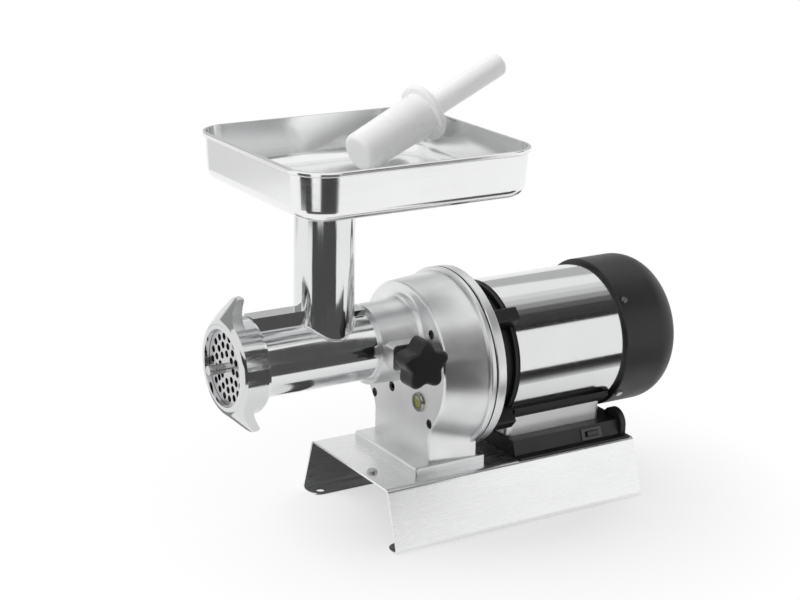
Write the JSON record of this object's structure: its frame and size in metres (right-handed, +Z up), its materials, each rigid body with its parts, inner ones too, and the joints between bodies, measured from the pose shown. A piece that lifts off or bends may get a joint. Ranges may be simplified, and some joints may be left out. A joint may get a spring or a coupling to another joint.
{
  "type": "electric meat grinder",
  "caption": "Bench meat grinder: motor and gear case on a bent steel stand, stainless barrel with auger, knife, plate and winged ring nut, feed tray and pusher.",
  "frame": {"origin": "centre of the bolt holes in the stand's lips, on the table plane", "axes": "+Z up from the table, -Y towards the grinding plate, +X towards the clamp knob"},
  "size_m": [0.224, 0.4896, 0.4259],
  "materials": {
    "base": "brushed bent sheet, satin",
    "case": "satin cast",
    "gasket": "matt fibre",
    "zinc": "zinc plated",
    "black_screw": "black oxide",
    "gear_steel": "ground, oiled",
    "bearing_steel": "polished races",
    "seal_rubber": "matt",
    "glass": "clear, oil behind it",
    "glass_ring": "polished",
    "shield": "dark cast",
    "sleeve": "polished drawn tube",
    "lamination": "stacked sheet edges",
    "copper": "varnished wire",
    "black_cover": "fine grained matt",
    "fan": "moulded",
    "saddle": "satin cast",
    "pad": "matt",
    "plinth": "fine grained matt",
    "capacitor": "moulded case",
    "switch": "moulded",
    "rocker": "moulded",
    "head": "polished stainless casting",
    "bush": "self-lubricating",
    "auger": "polished casting",
    "knife": "ground edges",
    "plate": "ground face",
    "nut": "polished stainless casting",
    "knob": "fine grained matt",
    "tray": "polished sheet",
    "pestle": "milky white"
  },
  "bodies": {
    "machine": {"base_stand": "base", "earth_screw": "zinc", "gear_housing": "case", "case_gasket": "gasket", "case_cover": "case", "case_screws": "black_screw", "oil_plug": "zinc", "sight_glass_ring": "glass_ring", "sight_glass_lens": "glass", "foot_bolts": "zinc", "output_bearings": "bearing_steel", "lay_bearings": "bearing_steel", "output_seal": "seal_rubber", "shaft_seal": "seal_rubber", "motor_front_shield": "shield", "motor_lugs": "shield", "motor_sleeve": "sleeve", "motor_bearings": "bearing_steel", "stator_core": "lamination", "stator_windings": "copper", "motor_rear_shield": "shield", "fan_cover": "black_cover", "fan_cover_screws": "black_screw", "motor_saddle": "saddle", "saddle_pad": "pad", "motor_plinth": "plinth", "plinth_screws": "zinc", "run_capacitor": "capacitor", "switch_body": "switch"},
    "rotor": {"rotor_shaft": "gear_steel", "rotor_core": "lamination", "cooling_fan": "fan", "motor_pinion": "gear_steel"},
    "layshaft": {"lay_gear": "gear_steel", "lay_shaft": "gear_steel"},
    "output": {"output_gear": "gear_steel", "output_shaft": "gear_steel"},
    "head": {"grinder_body": "head", "feed_neck": "head", "plate_pin": "zinc", "rear_bush": "bush"},
    "auger": {"feed_auger": "auger", "cutting_knife": "knife"},
    "plate": {"grinder_plate": "plate"},
    "nut": {"ring_nut": "nut"},
    "pad": {"clamp_pad": "zinc"},
    "knob": {"clamp_knob": "knob", "clamp_stud": "zinc"},
    "tray": {"feed_tray": "tray", "tray_spigot": "tray"},
    "pusher": {"pestle": "pestle"},
    "rocker": {"switch_rocker": "rocker"}
  },
  "joints": [
    {"name": "rotor_spin", "type": "hinge", "parent": "machine", "child": "rotor", "pos_m": [0, 0.04, 0.15], "axis": [0, 1, 0], "continuous": true},
    {"name": "layshaft_spin", "type": "hinge", "parent": "machine", "child": "layshaft", "pos_m": [-0.04157, -0.05, 0.14493], "axis": [0, 1, 0], "continuous": true},
    {"name": "output_spin", "type": "hinge", "parent": "machine", "child": "output", "pos_m": [0, -0.06, 0.177], "axis": [0, 1, 0], "continuous": true},
    {"name": "head_pull", "type": "slide", "parent": "machine", "child": "head", "axis": [0, -1, 0], "range_m": [0, 0.06]},
    {"name": "auger_spin", "type": "hinge", "parent": "head", "child": "auger", "pos_m": [0, -0.19, 0.177], "axis": [0, 1, 0], "continuous": true},
    {"name": "plate_out", "type": "slide", "parent": "head", "child": "plate", "axis": [0, -1, 0], "range_m": [0, 0.012]},
    {"name": "nut_turn", "type": "hinge", "parent": "plate", "child": "nut", "pos_m": [0, -0.262, 0.177], "axis": [0, 1, 0], "range_deg": [0, 1440]},
    {"name": "pad_press", "type": "slide", "parent": "machine", "child": "pad", "axis": [1, 0, 0], "range_m": [0, 0.005]},
    {"name": "knob_turn", "type": "hinge", "parent": "pad", "child": "knob", "pos_m": [0.07, -0.1095, 0.177], "axis": [1, 0, 0], "range_deg": [0, 1200]},
    {"name": "tray_lift", "type": "slide", "parent": "head", "child": "tray", "axis": [0, 0, 1], "range_m": [0, 0.06]},
    {"name": "pestle_lift", "type": "slide", "parent": "tray", "child": "pusher", "axis": [0, 0, 1], "range_m": [0, 0.1]},
    {"name": "rocker_tilt", "type": "hinge", "parent": "machine", "child": "rocker", "pos_m": [0.0586, 0.099, 0.06571], "axis": [-0.361, 0, 0.9326], "range_deg": [-16, 0]}
  ],
  "couplings": [
    {"joint": "layshaft_spin", "follows": "rotor_spin", "ratio": -0.28846},
    {"joint": "output_spin", "follows": "rotor_spin", "ratio": 0.096154},
    {"joint": "auger_spin", "follows": "rotor_spin", "ratio": 0.096154},
    {"joint": "plate_out", "follows": "nut_turn", "m_per_rad": 0.00047746},
    {"joint": "pad_press", "follows": "knob_turn", "m_per_rad": 0.00023873}
  ]
}
